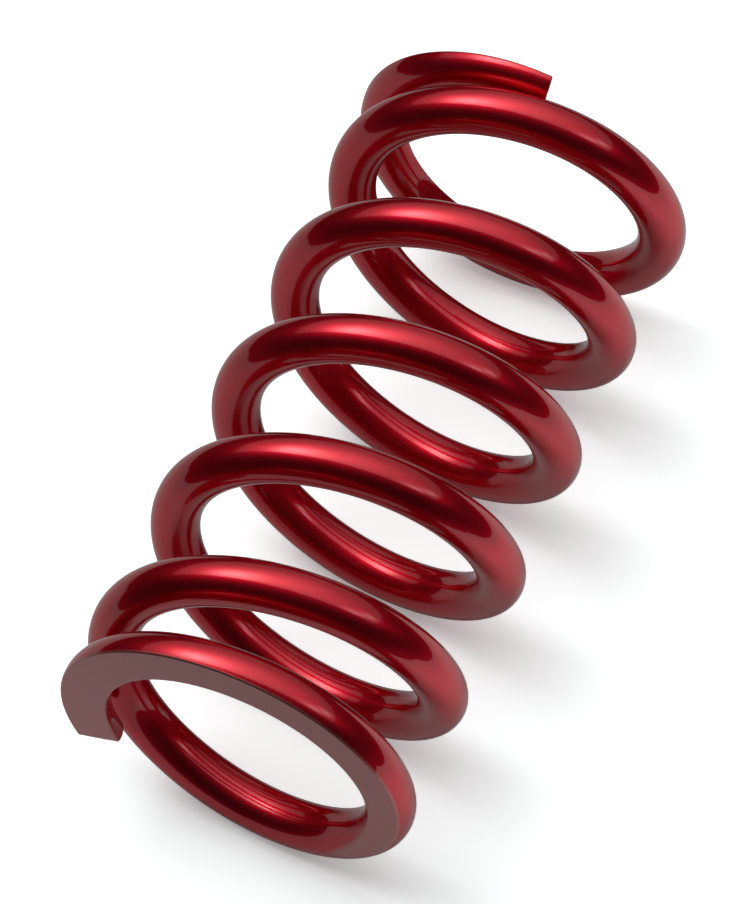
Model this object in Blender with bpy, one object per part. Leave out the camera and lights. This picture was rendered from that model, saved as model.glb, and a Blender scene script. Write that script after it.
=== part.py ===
"""Coil spring for a coilover suspension leg, lying on its side.

The spring is one round wire, wound right-handed, closed and ground flat at both ends.
It is modelled as named lengths of that wire: a closed coil at each end, which does not
flex, and short arcs of the open coils between them. The arcs meet at flat cuts through
the spring's axis, so they slide past one another along it as the spring shortens.

Units are metres, +Z is up, the spring's axis runs along +X and the origin is on the
ground, below the middle of the spring.
"""

import math

import bmesh
import bpy
from mathutils import Matrix

# The wire and the coil that it is wound into
WIRE_RADIUS = 0.006
MEAN_RADIUS = 0.0385
TOTAL_TURNS = 19 / 3

# Rise of the wire along the axis for each turn
OPEN_PITCH = 0.0356
CLOSED_PITCH = 0.0069

# The closed pitch opens out between these two places, in turns from each end's tip
LOWER_OPENING = (0.50, 1.12)
UPPER_OPENING = (0.55, 0.89)

# Wire left at each tip after the end is ground flat
LOWER_TIP_THICKNESS = 0.0048
UPPER_TIP_THICKNESS = 0.0070

# Each tip is bent in towards the axis, over this many turns
TIP_BENT_IN = 0.0010
TIP_BEND_TURNS = 0.3

# How the wire is divided
END_COIL_TURNS = 7 / 6
OPEN_TURNS = 4
ARCS_PER_TURN = 6
CUT_GAP = 0.0003

# How it lies: the angle of the upper tip, from straight up and towards +Y
UPPER_TIP_ANGLE = math.radians(251.25)

# Facets of the solids, and the angle past which an edge between two of them looks sharp
SECTION_SIDES = 12
STEPS_PER_TURN = 48
SHARP_ANGLE = math.radians(40)

PAINT_COLOUR = (0.30, 0.004, 0.012, 1.0)
PAINT_ROUGHNESS = 0.22
PAINT_METALLIC = 0.75


def closed_end_rise(turns_from_tip, opening):
    """Axial distance from a tip to the wire's centre line, at a place near that end."""
    opens_at, open_by = opening
    share = min(max((turns_from_tip - opens_at) / (open_by - opens_at), 0), 1)
    eased_turns = (open_by - opens_at) * (share**3 - share**4 / 2)
    eased_turns += max(turns_from_tip - open_by, 0)
    return CLOSED_PITCH * turns_from_tip + (OPEN_PITCH - CLOSED_PITCH) * eased_turns


def lower_height(turn):
    """Height of the centre line above the lower seat, for the lower half of the wire."""
    return LOWER_TIP_THICKNESS - WIRE_RADIUS + closed_end_rise(turn, LOWER_OPENING)


def upper_depth(turn):
    """Depth of the centre line below the upper seat, for the upper half of the wire."""
    rise = closed_end_rise(TOTAL_TURNS - turn, UPPER_OPENING)
    return UPPER_TIP_THICKNESS - WIRE_RADIUS + rise


FREE_LENGTH = lower_height(TOTAL_TURNS / 2) + upper_depth(TOTAL_TURNS / 2)


def centre_height(turn):
    """Height of the wire's centre line above the lower seat, at any turn of the wire."""
    if turn < TOTAL_TURNS / 2:
        return lower_height(turn)
    return FREE_LENGTH - upper_depth(turn)


def coil_radius(turn):
    """Distance of the wire's centre line from the axis, smaller at the two tips."""
    turns_from_tip = min(turn, TOTAL_TURNS - turn)
    return MEAN_RADIUS - TIP_BENT_IN * max(1 - turns_from_tip / TIP_BEND_TURNS, 0) ** 2


def turn_angle(turn):
    """Angle about the axis at a turn counted from the lower tip; the upper tip is at 0."""
    return 2 * math.pi * (turn - TOTAL_TURNS)


def section_place(turn):
    """Matrix that stands a flat section upright, facing along the wire, at a turn."""
    across = Matrix.Rotation(math.pi / 2, 4, "X")
    out = Matrix.Translation((coil_radius(turn), 0, centre_height(turn)))
    return Matrix.Rotation(turn_angle(turn), 4, "Z") @ out @ across


def step_outwards(turn, next_turn):
    """What a step along the wire adds to its turn about the axis: a rise and a bend."""
    angle = turn_angle(next_turn)
    bend = coil_radius(next_turn) - coil_radius(turn)
    rise = centre_height(next_turn) - centre_height(turn)
    return bend * math.cos(angle), bend * math.sin(angle), rise


def stations(first_turn, last_turn):
    """Turns at which the wire has a ring of corners, with a whole step between most."""
    first_step = math.floor(first_turn * STEPS_PER_TURN + 0.5)
    last_step = math.floor(last_turn * STEPS_PER_TURN + 0.5)
    inner = [step / STEPS_PER_TURN for step in range(first_step + 1, last_step)]
    return [first_turn, *inner, last_turn]


def wire_mesh(name, first_turn, last_turn):
    """Closed mesh of the wire between two turns, spun out of one capped section."""
    lead = math.atan(OPEN_PITCH / (2 * math.pi * MEAN_RADIUS))
    mesh = bmesh.new()
    bmesh.ops.create_circle(mesh, cap_ends=True, segments=SECTION_SIDES, radius=WIRE_RADIUS)
    bmesh.ops.scale(mesh, vec=(1, 1 / math.cos(lead), 1), verts=mesh.verts)
    bmesh.ops.transform(mesh, matrix=section_place(first_turn), verts=mesh.verts)
    end = mesh.faces[:]
    inner_faces = []
    turns = stations(first_turn, last_turn)
    for turn, next_turn in zip(turns, turns[1:]):
        spun = bmesh.ops.spin(
            mesh,
            geom=end,
            axis=(0, 0, 1),
            cent=(0, 0, 0),
            dvec=step_outwards(turn, next_turn),
            angle=turn_angle(next_turn) - turn_angle(turn),
            steps=1,
        )
        end = [item for item in spun["geom_last"] if isinstance(item, bmesh.types.BMFace)]
        inner_faces += end
    inner_faces.pop()
    bmesh.ops.delete(mesh, geom=inner_faces, context="FACES_ONLY")
    bmesh.ops.recalc_face_normals(mesh, faces=mesh.faces[:])
    data = bpy.data.meshes.new(name)
    mesh.to_mesh(data)
    mesh.free()
    data.shade_smooth()
    data.set_sharp_from_angle(angle=SHARP_ANGLE)
    return data


def paint(name):
    """Deep red metallic gloss paint."""
    material = bpy.data.materials.new(f"{name}_paint")
    material.use_nodes = True
    shader = material.node_tree.nodes["Principled BSDF"]
    shader.inputs["Base Color"].default_value = PAINT_COLOUR
    shader.inputs["Roughness"].default_value = PAINT_ROUGHNESS
    shader.inputs["Metallic"].default_value = PAINT_METALLIC
    shader.inputs["Coat Weight"].default_value = 1.0
    return material


def add_wire(name, first_turn, last_turn, parts, axis_empty):
    """One named length of the wire, placed on the spring's axis."""
    wire = bpy.data.objects.new(name, wire_mesh(name, first_turn, last_turn))
    wire.data.materials.append(paint(name))
    wire.parent = axis_empty
    parts.objects.link(wire)
    return wire


def grind_flat(wire, seat_height, outward, cutters, axis_empty):
    """Cuts a closed coil flat at its seat with a block that lies outside the seat."""
    side = 4 * MEAN_RADIUS
    depth = 4 * WIRE_RADIUS
    bpy.ops.mesh.primitive_cube_add(size=1)
    block = bpy.context.object
    block.name = f"{wire.name}_grinding_block"
    block.scale = (side, side, depth)
    block.location = (0, 0, seat_height + outward * depth / 2)
    block.parent = axis_empty
    block.display_type = "WIRE"
    block.hide_render = True
    for collection in block.users_collection:
        collection.objects.unlink(block)
    cutters.objects.link(block)
    cut = wire.modifiers.new("grind_flat", "BOOLEAN")
    cut.operation = "DIFFERENCE"
    cut.solver = "EXACT"
    cut.object = block


def lying_axis(parts):
    """Empty whose +Z is the spring's axis, laid along +X with the coils on the ground."""
    half_step = math.pi / STEPS_PER_TURN
    lowest = (MEAN_RADIUS + WIRE_RADIUS) * math.cos(half_step)
    sine, cosine = math.sin(UPPER_TIP_ANGLE), math.cos(UPPER_TIP_ANGLE)
    empty = bpy.data.objects.new("spring_axis", None)
    empty.matrix_world = Matrix(
        (
            (0, 0, 1, -FREE_LENGTH / 2),
            (sine, -cosine, 0, 0),
            (cosine, sine, 0, lowest),
            (0, 0, 0, 1),
        )
    )
    parts.objects.link(empty)
    return empty


def main():
    for thing in list(bpy.data.objects):
        bpy.data.objects.remove(thing, do_unlink=True)
    parts = bpy.data.collections.new("coil_spring")
    cutters = bpy.data.collections.new("cutters")
    for collection in (parts, cutters):
        bpy.context.scene.collection.children.link(collection)
    axis_empty = lying_axis(parts)

    half_gap = CUT_GAP / 2 / (2 * math.pi * (MEAN_RADIUS - WIRE_RADIUS))
    last_cut = TOTAL_TURNS - END_COIL_TURNS
    lower = add_wire("lower_end_coil", 0, END_COIL_TURNS - half_gap, parts, axis_empty)
    grind_flat(lower, 0, -1, cutters, axis_empty)
    upper = add_wire("upper_end_coil", last_cut + half_gap, TOTAL_TURNS, parts, axis_empty)
    grind_flat(upper, FREE_LENGTH, 1, cutters, axis_empty)
    for arc in range(OPEN_TURNS * ARCS_PER_TURN):
        coil, place = divmod(arc, ARCS_PER_TURN)
        starts = END_COIL_TURNS + arc / ARCS_PER_TURN
        ends = starts + 1 / ARCS_PER_TURN
        name = f"coil_{coil + 1}_arc_{place + 1}"
        add_wire(name, starts + half_gap, ends - half_gap, parts, axis_empty)
    bpy.context.view_layer.update()


main()
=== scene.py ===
"""Coil spring: one round steel wire wound into a compression spring and finished in clear-coated red.

The spring lies on its side on a pale sheet. Its axis runs along X: the lower seat is at -X, the upper seat,
which moves when the spring is squeezed, is at +X. All sizes are in metres and all lengths along the wire are
counted in turns from the lower tip.
"""

import logging
import math
from dataclasses import dataclass, field
from enum import Enum

import bpy
import numpy as np
from mathutils import Matrix, Vector

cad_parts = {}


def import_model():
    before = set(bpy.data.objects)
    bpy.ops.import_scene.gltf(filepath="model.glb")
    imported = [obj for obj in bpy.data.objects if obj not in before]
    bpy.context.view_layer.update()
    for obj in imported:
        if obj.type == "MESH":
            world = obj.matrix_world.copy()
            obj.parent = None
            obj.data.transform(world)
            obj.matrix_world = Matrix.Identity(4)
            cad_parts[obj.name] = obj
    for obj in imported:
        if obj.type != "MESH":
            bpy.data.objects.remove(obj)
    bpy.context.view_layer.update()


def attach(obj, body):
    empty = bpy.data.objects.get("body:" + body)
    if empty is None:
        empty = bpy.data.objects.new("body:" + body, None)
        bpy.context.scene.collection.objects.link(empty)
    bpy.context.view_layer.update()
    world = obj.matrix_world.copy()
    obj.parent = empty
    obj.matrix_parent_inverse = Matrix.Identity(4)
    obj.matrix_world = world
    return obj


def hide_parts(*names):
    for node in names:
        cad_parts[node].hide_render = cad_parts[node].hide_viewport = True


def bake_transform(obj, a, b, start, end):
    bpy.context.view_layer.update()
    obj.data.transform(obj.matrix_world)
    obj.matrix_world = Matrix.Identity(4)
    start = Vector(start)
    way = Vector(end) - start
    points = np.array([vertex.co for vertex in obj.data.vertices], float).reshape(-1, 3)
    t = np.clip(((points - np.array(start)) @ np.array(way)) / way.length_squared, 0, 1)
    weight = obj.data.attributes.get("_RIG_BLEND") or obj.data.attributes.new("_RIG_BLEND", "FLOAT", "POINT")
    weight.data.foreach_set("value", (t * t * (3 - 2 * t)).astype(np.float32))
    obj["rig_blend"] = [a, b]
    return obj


LOG = logging.getLogger("coil_spring")


class Seat(Enum):
    """The two ground ends of the spring."""

    LOWER = 0
    UPPER = 1


class WireEnd(Enum):
    """How a stretch of wire ends: it carries on in the next stretch, or it is the sheared tip."""

    JOINED = 0
    SHEARED = 1


class Term:
    """One socket of a node tree, which takes part in ordinary arithmetic."""

    def __init__(self, bench: "Bench", socket: bpy.types.NodeSocket) -> None:
        """Keep the socket and the bench that its next nodes are laid on."""
        self.bench = bench
        self.socket = socket

    def _with(self, operation: str, *operands: "Term | float") -> "Term":
        """Add one Math node that takes this value and the operands in order."""
        return self.bench.math(operation, self, *operands)

    def __add__(self, other: "Term | float") -> "Term":
        """Sum."""
        return self._with("ADD", other)

    __radd__ = __add__

    def __sub__(self, other: "Term | float") -> "Term":
        """Difference."""
        return self._with("SUBTRACT", other)

    def __rsub__(self, other: "Term | float") -> "Term":
        """Difference, with the plain number first."""
        return self.bench.math("SUBTRACT", other, self)

    def __mul__(self, other: "Term | float") -> "Term":
        """Product."""
        return self._with("MULTIPLY", other)

    __rmul__ = __mul__

    def __truediv__(self, other: "Term | float") -> "Term":
        """Quotient."""
        return self._with("DIVIDE", other)

    def __rtruediv__(self, other: "Term | float") -> "Term":
        """Quotient, with the plain number on top."""
        return self.bench.math("DIVIDE", other, self)

    def __neg__(self) -> "Term":
        """The same size with the other sign."""
        return self._with("MULTIPLY", -1.0)

    def __abs__(self) -> "Term":
        """The size without its sign."""
        return self._with("ABSOLUTE")

    def sine(self) -> "Term":
        """Sine of an angle in radians."""
        return self._with("SINE")

    def cosine(self) -> "Term":
        """Cosine of an angle in radians."""
        return self._with("COSINE")

    def at_least(self, floor: "Term | float") -> "Term":
        """The larger of the two."""
        return self._with("MAXIMUM", floor)

    def at_most(self, ceiling: "Term | float") -> "Term":
        """The smaller of the two."""
        return self._with("MINIMUM", ceiling)

    def share(self) -> "Term":
        """The value held between 0 and 1."""
        return self.at_least(0.0).at_most(1.0)

    def below(self, limit: "Term | float") -> "Term":
        """1 where the value is below the limit, otherwise 0."""
        return self._with("LESS_THAN", limit)

    def above(self, limit: "Term | float") -> "Term":
        """1 where the value is above the limit, otherwise 0."""
        return self._with("GREATER_THAN", limit)

    def eased(self, start: float, end: float) -> "Term":
        """Rise smoothly from 0 at start to 1 at end; it falls where end is below start.

        Args:
            start: The value at which the result is 0.
            end: The value at which the result is 1.

        Returns:
            The eased share.
        """
        part = ((self - start) / (end - start)).share()
        return part * part * (3.0 - 2.0 * part)

    def bell(self, width: float) -> "Term":
        """Gaussian of the value: 1 at 0 and 1/e at the given width."""
        scaled = self / width
        return self.bench.math("POWER", math.e, -(scaled * scaled))


class Bench:
    """Lays nodes into one node tree. Every node of every tree is made by its node method."""

    def __init__(self, tree: bpy.types.NodeTree) -> None:
        """Take the tree that the nodes go into."""
        self.tree = tree

    def node(
        self,
        kind: str,
        settings: dict[str, object] | None = None,
        inputs: dict[int | str, object] | None = None,
    ) -> bpy.types.Node:
        """Add one node.

        Args:
            kind: The node's type, such as ShaderNodeMath.
            settings: The node's own properties, which are set before its sockets.
            inputs: For each input socket, by name or number, a value, a Term or a socket.

        Returns:
            The new node.
        """
        made = self.tree.nodes.new(kind)
        for name, value in (settings or {}).items():
            setattr(made, name, value)
        for key, value in (inputs or {}).items():
            if isinstance(value, Term):
                self.tree.links.new(value.socket, made.inputs[key])
            elif isinstance(value, bpy.types.NodeSocket):
                self.tree.links.new(value, made.inputs[key])
            else:
                made.inputs[key].default_value = value
        return made

    def term(
        self,
        kind: str,
        settings: dict[str, object] | None = None,
        inputs: dict[int | str, object] | None = None,
        output: int | str = 0,
    ) -> Term:
        """Add one node and return one of its outputs.

        Args:
            kind: The node's type.
            settings: The node's own properties.
            inputs: Values or links of its sockets.
            output: Name or number of the output.

        Returns:
            The output as a Term.
        """
        return Term(self, self.node(kind, settings, inputs).outputs[output])

    def math(self, operation: str, *operands: Term | float) -> Term:
        """Add a Math node over the operands in order."""
        return self.term("ShaderNodeMath", {"operation": operation}, dict(enumerate(operands)))

    def parts(self, vector: Term) -> tuple[Term, Term, Term]:
        """Split a vector into its three components."""
        split = self.node("ShaderNodeSeparateXYZ", inputs={0: vector})
        return Term(self, split.outputs[0]), Term(self, split.outputs[1]), Term(self, split.outputs[2])

    def vector(self, x: Term | float, y: Term | float, z: Term | float) -> Term:
        """Join three values into a vector."""
        return self.term("ShaderNodeCombineXYZ", inputs={0: x, 1: y, 2: z})

    def mixed(self, factor: Term | float, first: object, second: object) -> Term:
        """Mix two colours.

        Args:
            factor: 0 gives the first colour and 1 the second.
            first: An RGBA tuple or a colour Term.
            second: An RGBA tuple or a colour Term.

        Returns:
            The mixed colour.
        """
        made = self.node("ShaderNodeMix", {"data_type": "RGBA"}, {"Factor": factor, 6: first, 7: second})
        return Term(self, made.outputs[2])


@dataclass(frozen=True)
class WireForm:
    """Sizes of the wound and ground wire, in metres and turns.

    The mean radius is a tenth of a millimetre under the solid model's, so that the round wire stays inside
    the faceted one's box. A shear slant is how far a sheared tip leans along the wire for each wire radius of
    depth under its seat.
    """

    wire_radius: float = 0.006
    mean_radius: float = 0.0384
    solid_mean_radius: float = 0.0385
    total_turns: float = 19 / 3
    open_pitch: float = 0.0356
    closed_pitch: float = 0.0069
    lower_opening: tuple[float, float] = (0.50, 1.12)
    upper_opening: tuple[float, float] = (0.55, 0.89)
    lower_tip_thickness: float = 0.0048
    upper_tip_thickness: float = 0.0070
    tip_bent_in: float = 0.0010
    tip_bend_turns: float = 0.3
    end_coil_turns: float = 7 / 6
    open_turns: int = 4
    arcs_per_turn: int = 6
    upper_tip_angle: float = math.radians(251.25)
    lower_shear_slant: float = 0.0007
    upper_shear_slant: float = 0.0002
    edge_round: float = 0.0006
    cut_round: float = 0.00035
    solid_sides_per_turn: int = 48

    @property
    def lead(self) -> float:
        """Angle that the open wire climbs at."""
        return math.atan(self.open_pitch / (math.tau * self.mean_radius))

    @property
    def axis_height(self) -> float:
        """Height of the spring's axis: the solid model rests on one flat between two of its steps."""
        return (self.solid_mean_radius + self.wire_radius) * math.cos(math.pi / self.solid_sides_per_turn)

    def rise(self, turns: float, opening: tuple[float, float]) -> float:
        """How far the wire has climbed away from a seat.

        Args:
            turns: Turns from that seat's tip.
            opening: Turns at which the closed coil starts and has finished opening.

        Returns:
            The climb along the axis.
        """
        start, end = opening
        part = min(max((turns - start) / (end - start), 0.0), 1.0)
        eased = (end - start) * (part**3 - part**4 / 2) + max(turns - end, 0.0)
        return self.closed_pitch * turns + (self.open_pitch - self.closed_pitch) * eased

    @property
    def free_length(self) -> float:
        """Distance between the two ground seats."""
        half = self.total_turns / 2
        from_lower = self.lower_tip_thickness - self.wire_radius + self.rise(half, self.lower_opening)
        from_upper = self.upper_tip_thickness - self.wire_radius + self.rise(half, self.upper_opening)
        return from_lower + from_upper


@dataclass(frozen=True)
class Stretch:
    """One stretch of the wire between two cuts."""

    name: str
    first_turn: float
    last_turn: float
    near_seat: Seat
    start: WireEnd
    end: WireEnd

    def steps(self, per_turn: int) -> int:
        """Number of rings along the stretch."""
        return max(1, round((self.last_turn - self.first_turn) * per_turn))


@dataclass
class WireTree:
    """Geometry Nodes tree that winds one stretch of wire, grinds it flat at its seat and rounds its edges.

    A stretch starts as a flat grid. Its rings of points follow one another along the wire, and its laps go
    round the section, both ways from the side that faces the near seat.
    """

    form: WireForm
    steps_per_turn: int = 288
    sides: int = 96
    joined_steps: int = 1
    sheared_steps: int = 12
    corner_steps: int = 5
    seat_laps: float = 0.4
    flat_laps: float = 0.6
    far_spread: float = 0.75
    gather_from: float = math.radians(10)
    gather_by: float = math.radians(25)
    cut_shrink: float = 1.15
    shear_wave: float = 0.00045
    shear_reach: float = 0.0026
    shear_grain: float = 260.0
    shear_seed: float = 4.0
    waviness: float = 0.000014
    wave_grain: float = 75.0
    wave_seed: float = 9.0
    ground_fade: float = 0.0007
    ground_full: float = 0.15
    least_corner: float = 1e-4
    weld: float = 4e-7
    numbers: dict[str, float] = field(init=False)
    tree: bpy.types.NodeTree = field(init=False)
    bench: Bench = field(init=False)

    def __post_init__(self) -> None:
        """Name the inputs, then lay the tree."""
        form = self.form
        self.numbers = {
            "Wire Radius": form.wire_radius,
            "Mean Radius": form.mean_radius,
            "Total Turns": form.total_turns,
            "Open Pitch": form.open_pitch,
            "Closed Pitch": form.closed_pitch,
            "Opening Start": form.lower_opening[0],
            "Opening End": form.lower_opening[1],
            "Tip Thickness": form.lower_tip_thickness,
            "Tip Bent In": form.tip_bent_in,
            "Tip Bend Turns": form.tip_bend_turns,
            "Free Length": form.free_length,
            "Upper Tip Angle": form.upper_tip_angle,
            "Axis Height": form.axis_height,
            "Edge Round": form.edge_round,
            "Cut Round": form.cut_round,
            "Waviness": self.waviness,
            "Shear Wave": self.shear_wave,
            "Shear Slant": 0.0,
            "Near Upper Seat": 0.0,
            "First Turn": 0.0,
            "Last Turn": 1.0,
            "Start Is Sheared": 0.0,
            "End Is Sheared": 0.0,
        }
        self.tree = bpy.data.node_groups.new("wire_stretch", "GeometryNodeTree")
        self.bench = Bench(self.tree)
        sockets = self.tree.interface
        for name, value in self.numbers.items():
            made = sockets.new_socket(name, in_out="INPUT", socket_type="NodeSocketFloat")
            made.default_value = value
        for name in ("Body Steps", "Start Steps", "End Steps", "Sides"):
            sockets.new_socket(name, in_out="INPUT", socket_type="NodeSocketInt")
        sockets.new_socket("Paint", in_out="INPUT", socket_type="NodeSocketMaterial")
        sockets.new_socket("Wire", in_out="OUTPUT", socket_type="NodeSocketGeometry")
        self._lay()

    def _stored(self, mesh: Term, name: str, value: Term, kind: str = "FLOAT", domain: str = "POINT") -> Term:
        """Store a value on the mesh under a name.

        Args:
            mesh: The geometry.
            name: Name of the attribute.
            value: What is stored.
            kind: Data type of the attribute.
            domain: Where it is stored.

        Returns:
            The geometry with the attribute.
        """
        settings = {"data_type": kind, "domain": domain}
        inputs = {0: mesh, "Name": name, "Value": value}
        return self.bench.term("GeometryNodeStoreNamedAttribute", settings, inputs)

    def _named(self, name: str, kind: str = "FLOAT") -> Term:
        """Read an attribute back by its name."""
        return self.bench.term("GeometryNodeInputNamedAttribute", {"data_type": kind}, {"Name": name})

    def _climb(self, given: dict[str, Term], turns: Term) -> Term:
        """Distance from the near seat to the middle of the wire.

        Args:
            given: The tree's inputs by name.
            turns: Turns from the near tip.

        Returns:
            The distance along the axis.
        """
        start, end = given["Opening Start"], given["Opening End"]
        part = ((turns - start) / (end - start)).share()
        eased = (end - start) * (part * part * part - part * part * part * part * 0.5)
        eased = eased + (turns - end).at_least(0.0)
        climb = given["Closed Pitch"] * turns + (given["Open Pitch"] - given["Closed Pitch"]) * eased
        return given["Tip Thickness"] - given["Wire Radius"] + climb

    def _section(self, given: dict[str, Term], reach: Term, lap: Term) -> tuple[Term, Term, Term]:
        """Shape of the section where the seat cuts it.

        Args:
            given: The tree's inputs by name.
            reach: Distance from the middle of the wire to the seat, square to the wire.
            lap: Place round the section, from -1 to 1, with 0 facing the near seat.

        Returns:
            How far the point lies out to the side, how far towards the seat, and its angle from that way.
        """
        radius, round_off = given["Wire Radius"], given["Edge Round"]
        corner_cosine = ((reach - round_off) / (radius - round_off)).at_least(-1.0).at_most(1.0)
        corner = self.bench.math("ARCCOSINE", corner_cosine)

        # Gather the laps: a fixed share of them covers the ground face, and the rest the round skin.
        place = abs(lap)
        near = place / self.seat_laps
        far = ((place - self.seat_laps) / (1.0 - self.seat_laps)).at_least(0.0)
        spread = far * (1.0 - self.far_spread) + far * far * self.far_spread
        gathered = (corner * near).at_most(corner) + (math.pi - corner) * spread
        gather = corner.eased(self.gather_from, self.gather_by)
        swing = gather * gathered + (1.0 - gather) * (place * math.pi)

        # Shape it: flat on the seat, then a rolled edge, then the round skin.
        on_seat = swing.below(corner)
        along = swing / corner.at_least(self.least_corner)
        flat = 1.0 - (along / self.flat_laps).share()
        roll = corner * ((along - self.flat_laps) / (1.0 - self.flat_laps)).share()
        corner_out = (radius - round_off) * corner.sine()
        seat_out = corner_out * (1.0 - flat * flat) + round_off * roll.sine()
        seat_up = reach - round_off + round_off * roll.cosine()
        out = on_seat * seat_out + (1.0 - on_seat) * radius * swing.sine()
        up = on_seat * seat_up + (1.0 - on_seat) * radius * swing.cosine()
        return out, up, swing

    def _placed(self, given: dict[str, Term], turn: Term, lap: Term, shrink: Term) -> tuple[Term, Term]:
        """Where a point of the wire's skin lies.

        Args:
            given: The tree's inputs by name.
            turn: Turns from the lower tip.
            lap: Place round the section, from -1 to 1, with 0 facing the near seat.
            shrink: 1 on the skin and 0 in the middle of the section.

        Returns:
            The point, and its share of the ground face's finish and painted reflection, which fades out just
            past the ground face.
        """
        bench = self.bench
        upper = given["Near Upper Seat"]
        slant = math.cos(self.form.lead)
        from_tip = upper * (given["Total Turns"] - turn) + (1.0 - upper) * turn
        to_seat = self._climb(given, from_tip)
        reach = to_seat * slant
        out, up, swing = self._section(given, reach, lap)
        core = (reach - given["Wire Radius"]).at_most(0.0) * 0.5
        out = out * shrink * (bench.math("SIGN", lap) * (1.0 - upper * 2.0))
        up = core + (up - core) * shrink
        bend = (1.0 - from_tip / given["Tip Bend Turns"]).at_least(0.0)
        distance = given["Mean Radius"] - given["Tip Bent In"] * bend * bend + out
        depth = to_seat - up / slant
        past_middle = given["Free Length"] * 0.5 - depth
        angle = given["Upper Tip Angle"] - (turn - given["Total Turns"]) * math.tau
        place_x = past_middle * (upper * 2.0 - 1.0)
        place_y = distance * angle.sine()
        place_z = distance * angle.cosine() + given["Axis Height"]
        ground = depth.eased(self.ground_fade, self.ground_fade * self.ground_full) * swing.below(math.pi / 2)
        return bench.vector(place_x, place_y, place_z), ground

    def _grid(self, given: dict[str, Term], steps: Term) -> Term:
        """Make the flat grid and number its points along the wire and round the section.

        Args:
            given: The tree's inputs by name.
            steps: Steps along the wire, with those that close the ends.

        Returns:
            The grid.
        """
        bench = self.bench
        counts = {"Vertices X": steps + 1.0, "Vertices Y": given["Sides"] + 1.0}
        grid = bench.term("GeometryNodeMeshGrid", inputs={"Size X": 1.0, "Size Y": 1.0, **counts})
        grid_x, grid_y, _ = bench.parts(bench.term("GeometryNodeInputPosition"))
        mesh = self._stored(grid, "ring", bench.math("ROUND", (grid_x + 0.5) * steps))
        return self._stored(mesh, "lap", grid_y * 2.0)

    def _run(self, given: dict[str, Term], ring: Term) -> tuple[Term, Term, Term]:
        """Spread the rings along the wire and close both of its ends.

        A sheared end is rounded over and drawn in to its middle. A joined end runs one step on.

        Args:
            given: The tree's inputs by name.
            ring: Number of the ring.

        Returns:
            The ring's turn, its size as a share of the whole section, and its turns from a sheared end.
        """
        body, before, after = given["Body Steps"], given["Start Steps"], given["End Steps"]
        start_cut, end_cut = given["Start Is Sheared"], given["End Is Sheared"]
        first, last = given["First Turn"], given["Last Turn"]
        edge_turns = given["Cut Round"] / (given["Mean Radius"] * math.tau)
        drawn_in = given["Cut Round"] / given["Wire Radius"] * self.cut_shrink
        body_first = first + start_cut * edge_turns
        body_last = last - end_cut * edge_turns
        step = (last - first) / body
        turn = body_first + (body_last - body_first) * ((ring - before) / body).share()
        past_start = (before - ring).at_least(0.0)
        past_end = (ring - before - body).at_least(0.0)
        shrink: Term | float = 1.0
        ends = ((past_start, before, start_cut, -1.0), (past_end, after, end_cut, 1.0))
        for past, count, cut, side in ends:
            quarter = (past / self.corner_steps).share() * (math.pi / 2)
            over = cut * edge_turns * quarter.sine() + (1.0 - cut) * past * step
            turn = turn + over * side
            rounded = 1.0 - cut * drawn_in * (1.0 - quarter.cosine())
            inner = (past - self.corner_steps).at_least(0.0) / (count - self.corner_steps).at_least(1.0)
            shrink = rounded * (1.0 - cut * inner) * shrink
        from_start = start_cut * (turn - first) + (1.0 - start_cut)
        from_end = end_cut * (last - turn) + (1.0 - end_cut)
        return turn, shrink, from_start.at_most(from_end)

    def _sheared(self, given: dict[str, Term], turn: Term, lap: Term, shrink: Term, from_cut: Term) -> Term:
        """Roughen the turn near a tip, where the shear has torn and slanted the wire's end.

        Args:
            given: The tree's inputs by name.
            turn: Turns from the lower tip.
            lap: Place round the section.
            shrink: Size as a share of the whole section.
            from_cut: Turns from the sheared end.

        Returns:
            The turn that the point ends up at.
        """
        bench = self.bench
        skin, _ = self._placed(given, turn, lap, shrink)
        tear = bench.term(
            "ShaderNodeTexNoise",
            {"noise_dimensions": "4D"},
            {"Vector": skin, "W": self.shear_seed, "Scale": self.shear_grain, "Detail": 2.0},
        )
        round_turn = math.tau * self.form.mean_radius
        near_cut = (1.0 - from_cut * round_turn / self.shear_reach).share()
        way = given["End Is Sheared"] - given["Start Is Sheared"]
        depth = (given["Free Length"] * 0.5 - abs(bench.parts(skin)[0])) / given["Wire Radius"]
        rough = (tear - 0.5) * 2.0 * given["Shear Wave"] + given["Shear Slant"] * depth
        return turn + rough * (way * near_cut) / round_turn

    def _waved(self, given: dict[str, Term], mesh: Term) -> Term:
        """Press slight waves into the painted skin, and keep the normals that it has then.

        Args:
            given: The tree's inputs by name.
            mesh: The wound wire.

        Returns:
            The waved wire.
        """
        bench = self.bench
        place = bench.term("GeometryNodeInputPosition")
        swell = bench.term(
            "ShaderNodeTexNoise",
            {"noise_dimensions": "4D"},
            {"Vector": place, "W": self.wave_seed, "Scale": self.wave_grain, "Detail": 1.0},
        )
        inwards = (swell - 1.0) * given["Waviness"] * (1.0 - self._named("ground"))
        normal = bench.term("GeometryNodeInputNormal")
        push = bench.term("ShaderNodeVectorMath", {"operation": "SCALE"}, {0: normal, "Scale": inwards})
        mesh = bench.term("GeometryNodeSetPosition", inputs={"Geometry": mesh, "Offset": push})
        return self._stored(mesh, "skin_normal", normal, kind="FLOAT_VECTOR")

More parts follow.
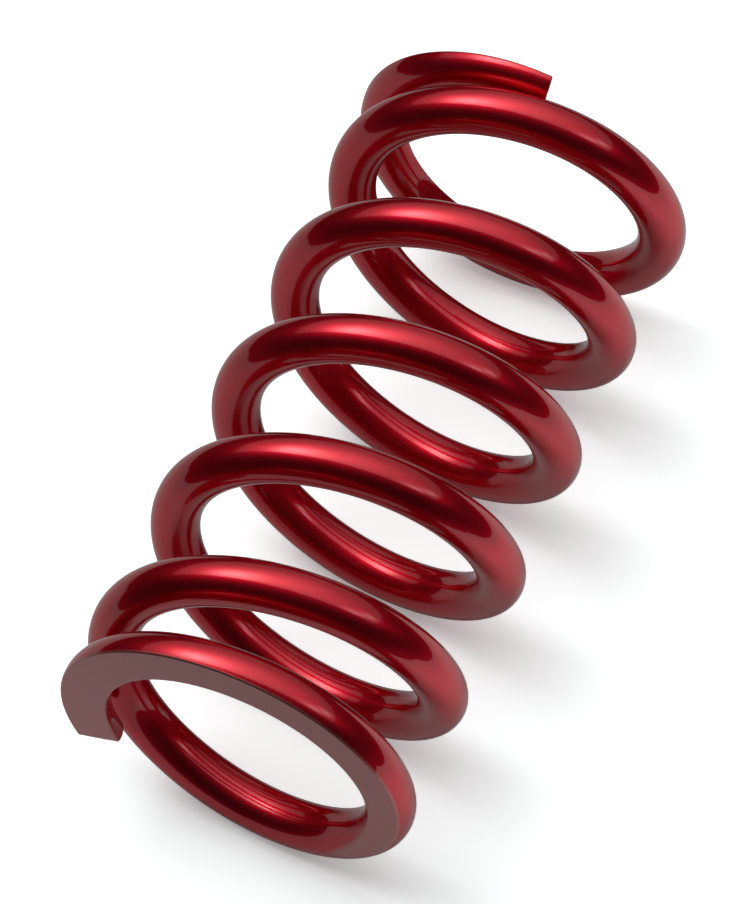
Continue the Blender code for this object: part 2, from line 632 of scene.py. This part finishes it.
    def _capped(self, given: dict[str, Term], mesh: Term) -> Term:
        """Draw the extra step of a joined end in to the middle of the wire, as a flat cap.

        Args:
            given: The tree's inputs by name.
            mesh: The waved wire.

        Returns:
            The closed wire.
        """
        bench = self.bench
        ring, lap = self._named("ring"), self._named("lap")
        before, body = given["Start Steps"], given["Body Steps"]
        capped = (before - ring).above(0.5) * (1.0 - given["Start Is Sheared"])
        capped = capped + (ring - before - body).above(0.5) * (1.0 - given["End Is Sheared"])
        turn = self._named("turn").at_least(given["First Turn"]).at_most(given["Last Turn"])
        middle, _ = self._placed(given, turn, lap, lap * 0.0)
        mesh = bench.term(
            "GeometryNodeSetPosition",
            inputs={"Geometry": mesh, "Selection": capped.above(0.5), "Position": middle},
        )
        mesh = self._stored(mesh, "cap", capped, domain="FACE")
        return self._stored(mesh, "turn", turn)

    def _welded(self, mesh: Term) -> Term:
        """Merge the points that lie together, at the seam along the wire and in the middle of its ends."""
        inputs = {"Geometry": mesh, "Distance": self.weld}
        return self.bench.term("GeometryNodeMergeByDistance", inputs=inputs)

    def _lay(self) -> None:
        """Lay the whole tree: a flat grid wound into the wire, closed at both ends and painted."""
        bench = self.bench
        group = bench.node("NodeGroupInput")
        given = {socket.name: Term(bench, socket) for socket in group.outputs if socket.name}
        steps = given["Body Steps"] + given["Start Steps"] + given["End Steps"]
        mesh = self._grid(given, steps)
        lap = self._named("lap")
        turn, shrink, from_cut = self._run(given, self._named("ring"))
        sheared_turn = self._sheared(given, turn, lap, shrink, from_cut)
        skin, ground = self._placed(given, sheared_turn, lap, shrink)
        mesh = bench.term("GeometryNodeSetPosition", inputs={"Geometry": mesh, "Position": skin})
        mesh = self._stored(mesh, "ground", ground)
        mesh = self._stored(mesh, "turn", turn)
        mesh = self._waved(given, self._welded(mesh))
        mesh = self._welded(self._capped(given, mesh))
        mesh = bench.term("GeometryNodeSetShadeSmooth", inputs={"Geometry": mesh, "Shade Smooth": True})
        mesh = bench.term("GeometryNodeRealizeInstances", inputs={"Geometry": mesh})
        mesh = bench.term("GeometryNodeSetMaterial", inputs={"Geometry": mesh, "Material": given["Paint"]})
        bench.node("NodeGroupOutput", inputs={"Wire": mesh})

    def _set_inputs(self, modifier: bpy.types.Modifier, values: dict[str, object]) -> None:
        """Set a modifier's inputs by the identifiers of their sockets."""
        for item in self.tree.interface.items_tree:
            if item.item_type == "SOCKET" and item.in_out == "INPUT" and item.name in values:
                modifier[item.identifier] = values[item.name]

    def wind(self, stretch: Stretch, paint: bpy.types.Material) -> bpy.types.Object:
        """Make one stretch of wire as a plain mesh object.

        Args:
            stretch: Which part of the wire, and how it ends.
            paint: The finish.

        Returns:
            The object, at the origin, with its place in its mesh.
        """
        form = self.form
        upper = stretch.near_seat is Seat.UPPER
        opening = form.upper_opening if upper else form.lower_opening
        count = {WireEnd.JOINED: self.joined_steps, WireEnd.SHEARED: self.sheared_steps}
        values = dict(self.numbers)
        values |= {
            "Opening Start": opening[0],
            "Opening End": opening[1],
            "Tip Thickness": form.upper_tip_thickness if upper else form.lower_tip_thickness,
            "Near Upper Seat": float(upper),
            "Shear Slant": form.upper_shear_slant if upper else form.lower_shear_slant,
            "First Turn": stretch.first_turn,
            "Last Turn": stretch.last_turn,
            "Start Is Sheared": float(stretch.start.value),
            "End Is Sheared": float(stretch.end.value),
            "Body Steps": stretch.steps(self.steps_per_turn),
            "Start Steps": count[stretch.start],
            "End Steps": count[stretch.end],
            "Sides": self.sides,
            "Paint": paint,
        }
        blank = bpy.data.meshes.new(f"{stretch.name}_blank")
        maker = bpy.data.objects.new(f"{stretch.name}_maker", blank)
        bpy.context.scene.collection.objects.link(maker)
        modifier = maker.modifiers.new("wire_stretch", "NODES")
        modifier.node_group = self.tree
        self._set_inputs(modifier, values)
        graph = bpy.context.evaluated_depsgraph_get()
        mesh = bpy.data.meshes.new_from_object(maker.evaluated_get(graph), depsgraph=graph)
        bpy.data.objects.remove(maker)
        bpy.data.meshes.remove(blank)
        mesh.name = f"{stretch.name}_wire"
        piece = bpy.data.objects.new(f"{stretch.name}_wire", mesh)
        bpy.context.scene.collection.objects.link(piece)
        self._true_normals(mesh)
        return piece

    def _true_normals(self, mesh: bpy.types.Mesh) -> None:
        """Give the skin the unbroken wire's normals, so that no highlight breaks between stretches.

        Args:
            mesh: The stretch's mesh, which loses its helper attributes here.
        """
        points = len(mesh.vertices)
        loops = len(mesh.loops)
        faces = len(mesh.polygons)
        skin = np.empty(points * 3, np.float32)
        mesh.attributes["skin_normal"].data.foreach_get("vector", skin)
        cap = np.empty(faces, np.float32)
        mesh.attributes["cap"].data.foreach_get("value", cap)
        corner_point = np.empty(loops, np.int32)
        mesh.loops.foreach_get("vertex_index", corner_point)
        sides = np.empty(faces, np.int32)
        mesh.polygons.foreach_get("loop_total", sides)
        facing = np.empty(faces * 3, np.float32)
        mesh.polygons.foreach_get("normal", facing)
        corner_face = np.repeat(np.arange(faces), sides)
        normals = skin.reshape(-1, 3)[corner_point]
        on_cap = (cap > 0.0)[corner_face]
        normals[on_cap] = facing.reshape(-1, 3)[corner_face[on_cap]]
        mesh.normals_split_custom_set(normals.tolist())
        for name in ("ring", "lap", "skin_normal", "cap"):
            mesh.attributes.remove(mesh.attributes[name])


@dataclass(frozen=True)
class CandyPaint:
    """Red metallic base under a thick clear coat, and on the two ground faces a duller grey-red that is
    partly their ground finish and partly a painted reflection of the pale sheet in the coat.
    """

    name: str = "candy_red_paint"
    deep: tuple[float, float, float, float] = (0.46, 0.0037, 0.013, 1.0)
    full: tuple[float, float, float, float] = (0.67, 0.0075, 0.026, 1.0)
    # Grey-red of the ground faces: partly the duller ground finish, partly a painted reflection of the pale
    # sheet seen in their coat.
    ground: tuple[float, float, float, float] = (0.52, 0.20, 0.19, 1.0)
    edge_tint: tuple[float, float, float, float] = (0.74, 0.36, 0.38, 1.0)
    base_roughness: float = 0.39
    ground_roughness: float = 0.50
    coat_roughness: float = 0.025
    coat_ior: float = 1.5
    flake_size: float = 0.00022
    flake_rough: float = 0.06
    flake_height: float = 0.35
    depth_range: tuple[float, float] = (0.30, 0.70)
    tone_start: float = 0.15
    tone_by_depth: float = 0.45
    tone_by_flake: float = 0.40
    depth_grain: float = 55.0
    nib_spacing: float = 0.020
    nib_radius: float = 0.0006
    nib_height: float = 6.0
    ground_cover: float = 0.85
    scratch_stretch: tuple[float, float, float] = (1.0, 60.0, 400.0)
    scratch_turn: tuple[float, float, float] = (0.6, 0.0, 0.0)
    scratch_grain: float = 9.0
    scratch_height: float = 1.4
    relief_strength: float = 0.25
    relief_depth: float = 0.00006

    def material(self) -> bpy.types.Material:
        """Build the material.

        Returns:
            The finished paint.
        """
        made = bpy.data.materials.new(self.name)
        made.use_nodes = True
        made.node_tree.nodes.clear()
        bench = Bench(made.node_tree)
        place = bench.term("ShaderNodeTexCoord", output="Object")
        flakes = bench.node("ShaderNodeTexVoronoi", inputs={"Vector": place, "Scale": 1.0 / self.flake_size})
        glint = bench.parts(Term(bench, flakes.outputs["Color"]))[0]
        depth = bench.term(
            "ShaderNodeTexNoise", inputs={"Vector": place, "Scale": self.depth_grain, "Detail": 3.0}
        )
        ground = bench.term("ShaderNodeAttribute", {"attribute_name": "ground"}, output="Fac")
        tone = self.tone_start + depth.eased(*self.depth_range) * self.tone_by_depth
        red = bench.mixed((tone + glint * self.tone_by_flake).share(), self.deep, self.full)
        # Painted reflection: besides their duller finish, the ground faces take a grey-red that partly stands
        # for the pale sheet reflected in their coat.
        colour = bench.mixed(ground * self.ground_cover, red, self.ground)
        duller = (self.ground_roughness - self.base_roughness) * ground
        roughness = self.base_roughness + duller + (glint - 0.5) * self.flake_rough
        scratch_place = bench.term(
            "ShaderNodeMapping",
            inputs={"Vector": place, "Scale": self.scratch_stretch, "Rotation": self.scratch_turn},
        )
        scratch = bench.term(
            "ShaderNodeTexNoise", inputs={"Vector": scratch_place, "Scale": self.scratch_grain, "Detail": 2.0}
        )
        specks = bench.node("ShaderNodeTexVoronoi", inputs={"Vector": place, "Scale": 1.0 / self.nib_spacing})
        nib = (Term(bench, specks.outputs["Distance"]) * (self.nib_spacing / self.nib_radius)).eased(1.0, 0.0)
        height = glint * self.flake_height + scratch * ground * self.scratch_height
        height = height + nib * (1.0 - ground) * self.nib_height
        relief = bench.term(
            "ShaderNodeBump",
            inputs={"Strength": self.relief_strength, "Distance": self.relief_depth, "Height": height},
        )
        shader = bench.term(
            "ShaderNodeBsdfPrincipled",
            inputs={
                "Base Color": colour,
                "Roughness": roughness,
                "Metallic": 1.0,
                "Specular Tint": self.edge_tint,
                "Coat Weight": 1.0,
                "Coat Roughness": self.coat_roughness,
                "Coat IOR": self.coat_ior,
                "Normal": relief,
            },
        )
        bench.node("ShaderNodeOutputMaterial", inputs={"Surface": shader})
        return made


@dataclass
class SpringWire:
    """The whole wire: a closed, ground coil at each end, and the open coils between them as short arcs."""

    form: WireForm
    paint: CandyPaint
    lower_body: str = "lower_end_coil"
    upper_body: str = "upper_end_coil"
    slot: str = "spring_paint"

    def stretches(self) -> list[Stretch]:
        """List the stretches of wire from the lower tip to the upper tip."""
        form = self.form
        found = [
            Stretch(self.lower_body, 0.0, form.end_coil_turns, Seat.LOWER, WireEnd.SHEARED, WireEnd.JOINED)
        ]
        count = form.open_turns * form.arcs_per_turn
        for index in range(count):
            coil, arc = divmod(index, form.arcs_per_turn)
            first = form.end_coil_turns + index / form.arcs_per_turn
            seat = Seat.LOWER if index < count // 2 else Seat.UPPER
            name = f"coil_{coil + 1}_arc_{arc + 1}"
            last = first + 1 / form.arcs_per_turn
            found.append(Stretch(name, first, last, seat, WireEnd.JOINED, WireEnd.JOINED))
        found.append(
            Stretch(
                self.upper_body,
                form.total_turns - form.end_coil_turns,
                form.total_turns,
                Seat.UPPER,
                WireEnd.JOINED,
                WireEnd.SHEARED,
            )
        )
        return found

    def build(self) -> list[bpy.types.Object]:
        """Wind every stretch, paint it and tie it to the solid model.

        Returns:
            The finished pieces.
        """
        tree = WireTree(self.form)
        paint = self.paint.material()
        pieces = []
        for stretch in self.stretches():
            piece = tree.wind(stretch, paint)
            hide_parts(stretch.name)
            if stretch.name in (self.lower_body, self.upper_body):
                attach(piece, stretch.name)
            else:
                self._share_travel(piece)
            LOG.info("%s: %d faces", piece.name, len(piece.data.polygons))
            pieces.append(piece)
        return pieces

    def _share_travel(self, piece: bpy.types.Object) -> None:
        """Let each point of an open stretch take its share of the squeeze, by its turn along the wire.

        The blend alone would share the travel out along X, which would squash the wire's round section.

        Args:
            piece: The stretch's object, with the turn of each of its points.
        """
        half = self.form.free_length / 2
        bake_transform(piece, self.lower_body, self.upper_body, start=(-half, 0.0, 0.0), end=(half, 0.0, 0.0))
        mesh = piece.data
        turn = np.empty(len(mesh.vertices), np.float32)
        mesh.attributes["turn"].data.foreach_get("value", turn)
        share = np.clip((turn - self.form.end_coil_turns) / self.form.open_turns, 0.0, 1.0)
        mesh.attributes["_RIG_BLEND"].data.foreach_set("value", share.astype(np.float32))


@dataclass(frozen=True)
class Glow:
    """One soft lamp behind the overhead diffuser, placed on a sheet one unit above the spring."""

    along: float
    across: float
    long_width: float
    cross_width: float
    strength: float


@dataclass
class Studio:
    """White sheet, overhead diffuser and camera.

    The sheet and the room behind it look white to the camera and keep a lower brightness in reflections.
    Places on the diffuser are counted on a level sheet one unit above the spring, along X and across it.
    """

    sheet_x: tuple[float, float] = (-0.45, 0.18)
    sheet_y: tuple[float, float] = (-0.60, 0.30)
    sheet_height: float = -0.00001
    sheet_white: tuple[float, float, float] = (1.22, 1.30, 1.30)
    sheet_reflected: tuple[float, float, float] = (0.56, 0.63, 0.63)
    sheet_glow: float = 0.30
    sheet_grain: float = 900.0
    sheet_mottle: float = 0.01
    # Painted light: the sheet's reflected colour towards +Y, lighter than the rest, as if more light fell
    # there.
    painted_light_side: tuple[float, float, float] = (1.00, 1.12, 1.12)
    painted_light_side_y: tuple[float, float] = (0.03, 0.12)
    diffuser_near_edge: float = 0.29
    diffuser_far_edge: float = -16.0
    diffuser_sides: tuple[float, float] = (-1.95, 1.75)
    diffuser_strength: float = 0.46
    far_fade: float = 4.0
    near_softness: float = 0.05
    low_side_softness: tuple[float, float] = (0.30, 0.15)
    high_side_softness: tuple[float, float] = (0.12, 0.10)
    room_strength: float = 0.02
    lowest_height: float = 0.02
    backdrop: float = 1.0
    level: float = 0.84
    glows: tuple[Glow, ...] = (
        Glow(-0.02, -0.54, 0.32, 0.30, 6.0),
        Glow(-0.05, -0.20, 1.10, 0.75, 1.05),
        Glow(-0.26, 1.38, 0.22, 0.22, 2.4),
        Glow(0.08, 1.05, 0.18, 0.22, 2.4),
    )
    camera_place: tuple[float, float, float] = (0.54698, 0.29598, 1.03412)
    camera_target: tuple[float, float, float] = (0.00012, -0.00176, 0.0444)
    camera_roll: float = math.radians(-6.296)
    focal_length: float = 193.045
    sensor: float = 36.0
    nearest: float = 0.05
    farthest: float = 20.0

    def _sheet_paper(self) -> bpy.types.Material:
        """White paper with a faint grain: it is full white to the camera, and in reflections carries a
        painted pool of light that makes it brighter at +Y.

        Returns:
            The material of the sheet.
        """
        made = bpy.data.materials.new("white_sheet")
        made.use_nodes = True
        made.node_tree.nodes.clear()
        bench = Bench(made.node_tree)
        place = bench.term("ShaderNodeTexCoord", output="Object")
        grain = bench.term(
            "ShaderNodeTexNoise", inputs={"Vector": place, "Scale": self.sheet_grain, "Detail": 2.0}
        )
        # Painted light: reflections see the sheet lighter towards +Y, a pool of light painted into its colour
        # that gives the right-hand flanks a grey sheen.
        side = bench.parts(place)[1].eased(*self.painted_light_side_y)
        papers = []
        for white, right, glow in (
            (self.sheet_reflected, self.painted_light_side, 0.0),
            (self.sheet_white, self.sheet_white, self.sheet_glow),
        ):
            low = tuple(value * (1.0 - self.sheet_mottle) for value in white)
            high = tuple(value * (1.0 + self.sheet_mottle) for value in white)
            colour = bench.mixed(side, bench.mixed(grain, (*low, 1.0), (*high, 1.0)), (*right, 1.0))
            matt = bench.term("ShaderNodeBsdfDiffuse", inputs={"Color": colour})
            light = bench.term("ShaderNodeEmission", inputs={"Strength": glow})
            papers.append(bench.term("ShaderNodeAddShader", inputs={0: matt, 1: light}))
        seen = bench.term("ShaderNodeLightPath", output="Is Camera Ray")
        paper = bench.term("ShaderNodeMixShader", inputs={0: seen, 1: papers[0], 2: papers[1]})
        bench.node("ShaderNodeOutputMaterial", inputs={"Surface": paper})
        return made

    def lay_sheet(self) -> bpy.types.Object:
        """Lay the pale sheet that the spring rests on.

        Returns:
            The sheet.
        """
        west, east = self.sheet_x
        south, north = self.sheet_y
        z = self.sheet_height
        mesh = bpy.data.meshes.new("sheet")
        corners = [(west, south, z), (east, south, z), (east, north, z), (west, north, z)]
        mesh.from_pydata(corners, [], [(0, 1, 2, 3)])
        mesh.materials.append(self._sheet_paper())
        sheet = bpy.data.objects.new("sheet", mesh)
        bpy.context.scene.collection.objects.link(sheet)
        return sheet

    def hang_lights(self) -> None:
        """Light the room: a wide diffuser overhead on the far side, soft lamps behind it, and dark walls."""
        world = bpy.data.worlds.new("studio")
        bpy.context.scene.world = world
        world.use_nodes = True
        world.node_tree.nodes.clear()
        bench = Bench(world.node_tree)
        x, y, z = bench.parts(bench.term("ShaderNodeTexCoord", output="Generated"))
        height = z.at_least(self.lowest_height)
        along, across = x / height, y / height
        near, far = self.diffuser_near_edge, self.diffuser_far_edge
        low, high = self.diffuser_sides
        past_low, inside_low = self.low_side_softness
        past_high, inside_high = self.high_side_softness
        panel = (
            along.eased(near + self.near_softness, near - self.near_softness)
            * along.eased(far, far + self.far_fade)
            * across.eased(low - past_low, low + inside_low)
            * across.eased(high + past_high, high - inside_high)
            * z.above(0.0)
        )
        light = panel * self.diffuser_strength
        for glow in self.glows:
            spot = (along - glow.along).bell(glow.long_width) * (across - glow.across).bell(glow.cross_width)
            light = light + spot * panel * glow.strength
        light = (light + self.room_strength) * self.level
        seen = bench.term("ShaderNodeLightPath", output="Is Camera Ray")
        strength = seen * self.backdrop + (1.0 - seen) * light
        white = (1.0, 1.0, 1.0, 1.0)
        shade = bench.term("ShaderNodeBackground", inputs={"Color": white, "Strength": strength})
        bench.node("ShaderNodeOutputWorld", inputs={"Surface": shade})

    def set_camera(self) -> bpy.types.Object:
        """Stand the camera above the upper end, looking down along the spring.

        Returns:
            The camera.
        """
        data = bpy.data.cameras.new("camera")
        data.lens = self.focal_length
        data.sensor_width = self.sensor
        data.sensor_height = self.sensor
        data.sensor_fit = "AUTO"
        data.clip_start = self.nearest
        data.clip_end = self.farthest
        camera = bpy.data.objects.new("camera", data)
        place = Vector(self.camera_place)
        look = (Vector(self.camera_target) - place).normalized()
        right = look.cross(Vector((0.0, 0.0, 1.0))).normalized()
        upright = Matrix((right, right.cross(look), -look)).transposed()
        turn = upright @ Matrix.Rotation(self.camera_roll, 3, "Z")
        camera.matrix_world = Matrix.Translation(place) @ turn.to_4x4()
        bpy.context.scene.collection.objects.link(camera)
        bpy.context.scene.camera = camera
        return camera


def main() -> None:
    """Load the solid model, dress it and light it."""
    logging.basicConfig(level=logging.INFO, format="%(message)s")
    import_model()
    spring = SpringWire(WireForm(), CandyPaint())
    pieces = spring.build()
    studio = Studio()
    studio.lay_sheet()
    studio.hang_lights()
    studio.set_camera()
    bpy.context.scene.view_settings.view_transform = "Standard"
    LOG.info("%d pieces of wire", len(pieces))


if __name__ == "__main__":
    main()
